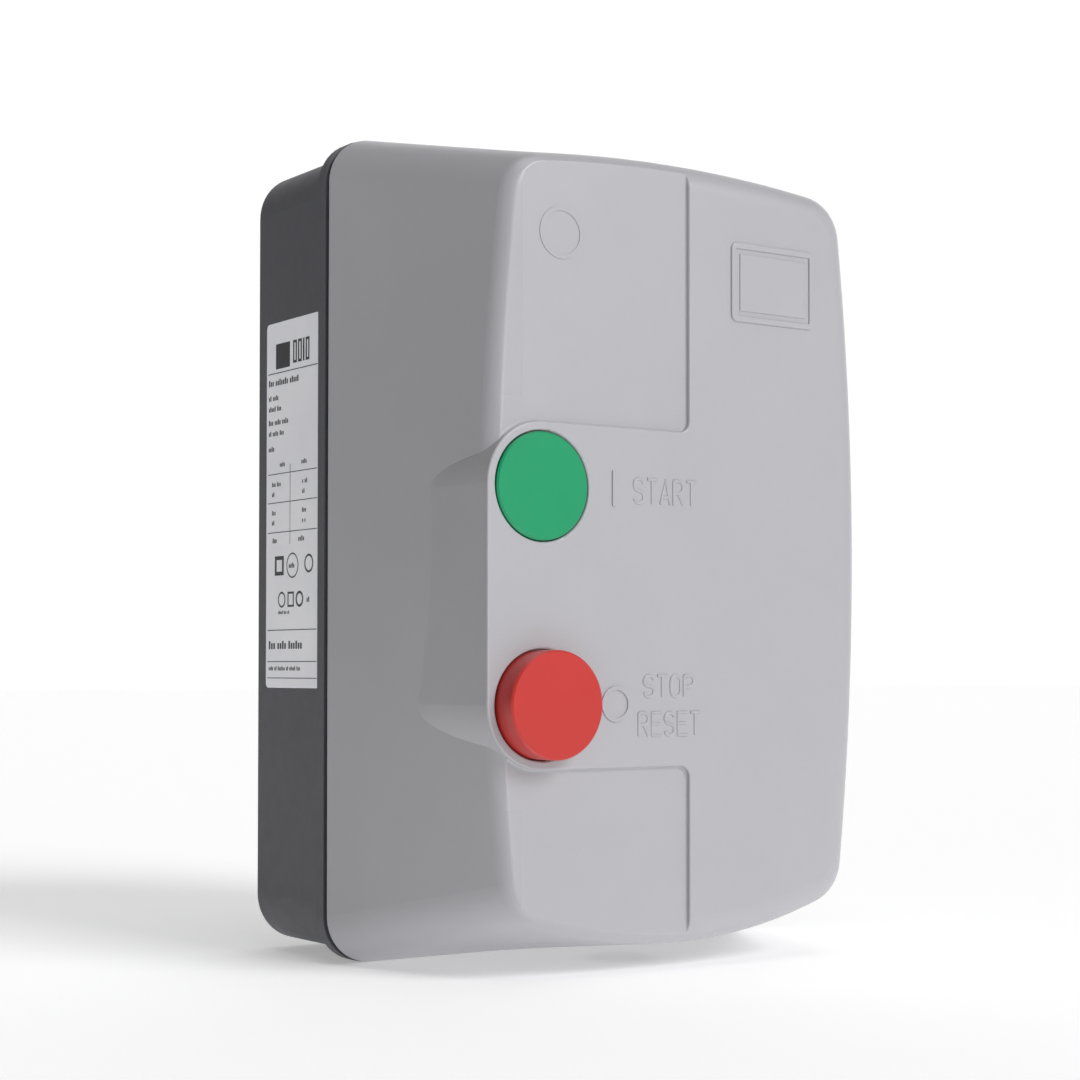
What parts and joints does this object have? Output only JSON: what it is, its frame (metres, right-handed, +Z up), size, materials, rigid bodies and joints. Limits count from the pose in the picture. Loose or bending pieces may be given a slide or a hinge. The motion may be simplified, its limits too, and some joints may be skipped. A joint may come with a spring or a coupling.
{
  "type": "magnetic motor starter",
  "caption": "Wall-mounted motor starter: enclosure with start and stop-reset push buttons, housing a contactor, a thermal overload relay and their control parts.",
  "frame": {"origin": "centre of the four wall holes on the enclosure's back face", "axes": "+X right seen from the front, +Y into the wall, +Z up; the front faces -Y"},
  "size_m": [0.126, 0.0975, 0.19],
  "materials": {
    "cover_grey": "fine moulded texture",
    "base_charcoal": "fine moulded texture",
    "green_cap": "satin moulded",
    "red_cap": "satin moulded",
    "label_white": "printed film",
    "gasket_rubber": "matt foam rubber",
    "zinc_steel": "zinc plated",
    "spring_steel": "drawn wire",
    "core_steel": "stacked laminations",
    "contactor_grey": "moulded",
    "contactor_dark": "moulded",
    "carrier_black": "moulded",
    "bobbin_plastic": "moulded",
    "winding": "enamelled copper wire",
    "copper": "copper",
    "brass": "turned",
    "bimetal": "rolled strip",
    "heater": "resistance wire",
    "slider_white": "moulded",
    "reset_blue": "moulded",
    "dial_yellow": "moulded",
    "wire_black": "insulated wire"
  },
  "bodies": {
    "base": {"base_housing": "base_charcoal", "gasket": "gasket_rubber", "rating_label": "label_white", "mounting_plate": "zinc_steel", "plate_screws": "zinc_steel", "contactor_base": "contactor_grey", "contactor_housing": "contactor_dark", "contactor_cover": "contactor_dark", "fixed_core": "core_steel", "shading_rings": "copper", "coil_bobbin": "bobbin_plastic", "coil_winding": "winding", "return_springs": "spring_steel", "line_contacts": "copper", "line_screws": "zinc_steel", "line_clamps": "zinc_steel", "load_contacts": "copper", "load_screws": "zinc_steel", "load_clamps": "zinc_steel", "coil_terminals": "copper", "coil_terminal_screws": "zinc_steel", "start_block": "carrier_black", "start_block_contacts": "copper", "start_block_spring": "spring_steel", "relay_housing": "contactor_grey", "relay_cover": "contactor_dark", "bimetal_strips": "bimetal", "heater_coils": "heater", "lever_pin": "zinc_steel", "reset_spring": "spring_steel", "dial_bracket": "contactor_dark", "relay_contacts": "copper", "relay_screws": "zinc_steel", "relay_clamps": "zinc_steel", "link_pins": "copper", "earth_terminal": "brass", "earth_screw": "zinc_steel", "control_wires": "wire_black"},
    "cover": {"cover": "cover_grey", "nameplate": "cover_grey", "cover_screws": "zinc_steel", "cover_nuts": "zinc_steel", "start_spring": "spring_steel", "stop_spring": "spring_steel"},
    "start_button": {"start_button": "green_cap", "start_retainer": "zinc_steel"},
    "stop_button": {"stop_button": "red_cap", "stop_retainer": "zinc_steel"},
    "armature": {"moving_core": "core_steel", "contact_carrier": "carrier_black", "contact_bridges": "copper", "contact_springs": "spring_steel"},
    "start_plunger": {"start_plunger": "slider_white", "start_bridge": "copper"},
    "reset_plunger": {"reset_plunger": "reset_blue"},
    "trip_slider": {"trip_slider": "slider_white"},
    "trip_lever": {"trip_lever": "slider_white"},
    "current_dial": {"current_dial": "dial_yellow"}
  },
  "joints": [
    {"name": "cover_lift", "type": "slide", "parent": "base", "child": "cover", "axis": [0, -1, 0], "range_m": [0, 0.14]},
    {"name": "start_press", "type": "slide", "parent": "cover", "child": "start_button", "axis": [0, 1, 0], "range_m": [0, 0.004], "stiffness_N_per_m": 800, "springref_m": -0.001, "deforming": ["start_spring"]},
    {"name": "stop_press", "type": "slide", "parent": "cover", "child": "stop_button", "axis": [0, 1, 0], "range_m": [0, 0.004], "stiffness_N_per_m": 800, "springref_m": -0.001, "deforming": ["stop_spring"]},
    {"name": "start_plunger_slide", "type": "slide", "parent": "base", "child": "start_plunger", "axis": [0, 1, 0], "range_m": [0, 0.004], "stiffness_N_per_m": 200, "springref_m": -0.001, "deforming": ["start_block_spring"]},
    {"name": "reset_slide", "type": "slide", "parent": "base", "child": "reset_plunger", "axis": [0, 1, 0], "range_m": [0, 0.004], "stiffness_N_per_m": 200, "springref_m": -0.001, "deforming": ["reset_spring"]},
    {"name": "armature_slide", "type": "slide", "parent": "base", "child": "armature", "axis": [0, 1, 0], "range_m": [0, 0.0039], "stiffness_N_per_m": 600, "springref_m": -0.002, "deforming": ["return_springs"]},
    {"name": "trip_slide", "type": "slide", "parent": "base", "child": "trip_slider", "axis": [1, 0, 0], "range_m": [0, 0.0012], "stiffness_N_per_m": 300, "springref_m": -0.0005},
    {"name": "trip_lever_turn", "type": "hinge", "parent": "base", "child": "trip_lever", "pos_m": [-0.0095, -0.04, -0.0185], "axis": [0, -1, 0], "range_deg": [0, 9.3]},
    {"name": "dial_turn", "type": "hinge", "parent": "base", "child": "current_dial", "pos_m": [-0.014, -0.0634, -0.028], "axis": [0, -1, 0], "range_deg": [-135, 135]}
  ],
  "couplings": [
    {"joint": "start_plunger_slide", "follows": "start_press", "ratio": 1},
    {"joint": "reset_slide", "follows": "stop_press", "ratio": 1},
    {"joint": "trip_lever_turn", "follows": "trip_slide", "rad_per_m": 133}
  ]
}
